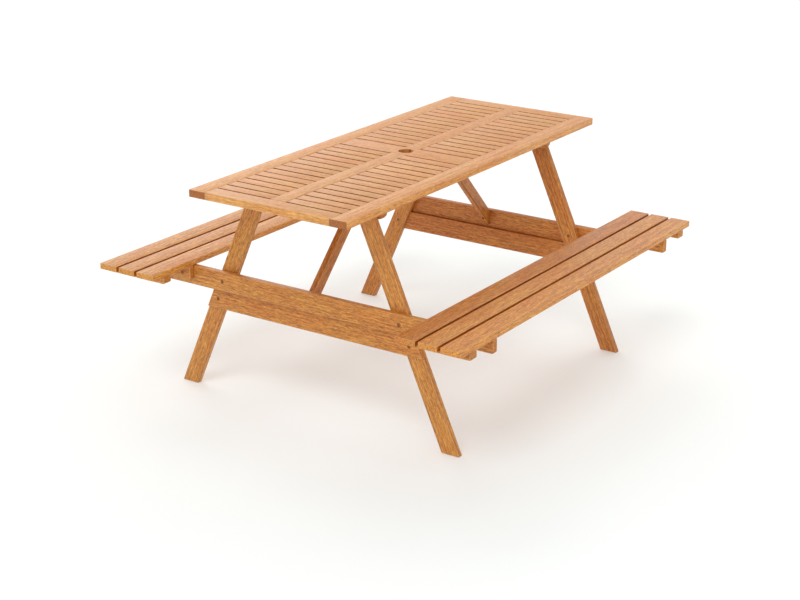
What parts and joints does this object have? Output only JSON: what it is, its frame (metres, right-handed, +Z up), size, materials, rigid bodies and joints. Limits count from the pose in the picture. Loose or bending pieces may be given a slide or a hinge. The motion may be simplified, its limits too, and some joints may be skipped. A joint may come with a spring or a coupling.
{
  "type": "picnic table",
  "caption": "Hardwood picnic table: slatted top with a central parasol hole on two splayed bolted frames, with a fixed slatted bench along each side.",
  "frame": {"origin": "on the floor, under the centre of the parasol hole", "axes": "+X along the benches towards end b, +Y towards the left bench, +Z up"},
  "size_m": [1.446, 1.3426, 0.74],
  "materials": {
    "top_timber": "oiled, light reddish tan",
    "bench_timber": "oiled, light reddish tan",
    "frame_timber": "oiled, golden brown",
    "bronzed_steel": "dull bronze-coloured plating"
  },
  "bodies": {
    "root": {"bench_left_batten_a": "frame_timber", "bench_left_batten_b": "frame_timber", "bench_left_cleat_a": "frame_timber", "bench_left_cleat_b": "frame_timber", "bench_left_slat_inner": "bench_timber", "bench_left_slat_middle": "bench_timber", "bench_left_slat_outer": "bench_timber", "bench_right_batten_a": "frame_timber", "bench_right_batten_b": "frame_timber", "bench_right_cleat_a": "frame_timber", "bench_right_cleat_b": "frame_timber", "bench_right_slat_inner": "bench_timber", "bench_right_slat_middle": "bench_timber", "bench_right_slat_outer": "bench_timber", "bolt_cleat_inner_a_left": "bronzed_steel", "bolt_cleat_inner_a_right": "bronzed_steel", "bolt_cleat_inner_b_left": "bronzed_steel", "bolt_cleat_inner_b_right": "bronzed_steel", "bolt_cleat_outer_a_left": "bronzed_steel", "bolt_cleat_outer_a_right": "bronzed_steel", "bolt_cleat_outer_b_left": "bronzed_steel", "bolt_cleat_outer_b_right": "bronzed_steel", "bolt_leg_lower_a_left": "bronzed_steel", "bolt_leg_lower_a_right": "bronzed_steel", "bolt_leg_lower_b_left": "bronzed_steel", "bolt_leg_lower_b_right": "bronzed_steel", "bolt_leg_top_a_left": "bronzed_steel", "bolt_leg_top_a_right": "bronzed_steel", "bolt_leg_top_b_left": "bronzed_steel", "bolt_leg_top_b_right": "bronzed_steel", "bolt_leg_upper_a_left": "bronzed_steel", "bolt_leg_upper_a_right": "bronzed_steel", "bolt_leg_upper_b_left": "bronzed_steel", "bolt_leg_upper_b_right": "bronzed_steel", "brace_a": "frame_timber", "brace_b": "frame_timber", "leg_a_left": "frame_timber", "leg_a_right": "frame_timber", "leg_b_left": "frame_timber", "leg_b_right": "frame_timber", "lower_beam_a": "frame_timber", "lower_beam_b": "frame_timber", "screw_brace_a": "bronzed_steel", "screw_brace_b": "bronzed_steel", "top_batten_a": "frame_timber", "top_batten_b": "frame_timber", "top_centre_board": "top_timber", "top_end_rail_a": "top_timber", "top_end_rail_b": "top_timber", "top_side_rail_left": "top_timber", "top_side_rail_right": "top_timber", "top_slats_a_left": "top_timber", "top_slats_a_right": "top_timber", "top_slats_b_left": "top_timber", "top_slats_b_right": "top_timber", "top_spine_a": "top_timber", "top_spine_b": "top_timber", "upper_beam_a": "frame_timber", "upper_beam_b": "frame_timber"}
  },
  "joints": []
}
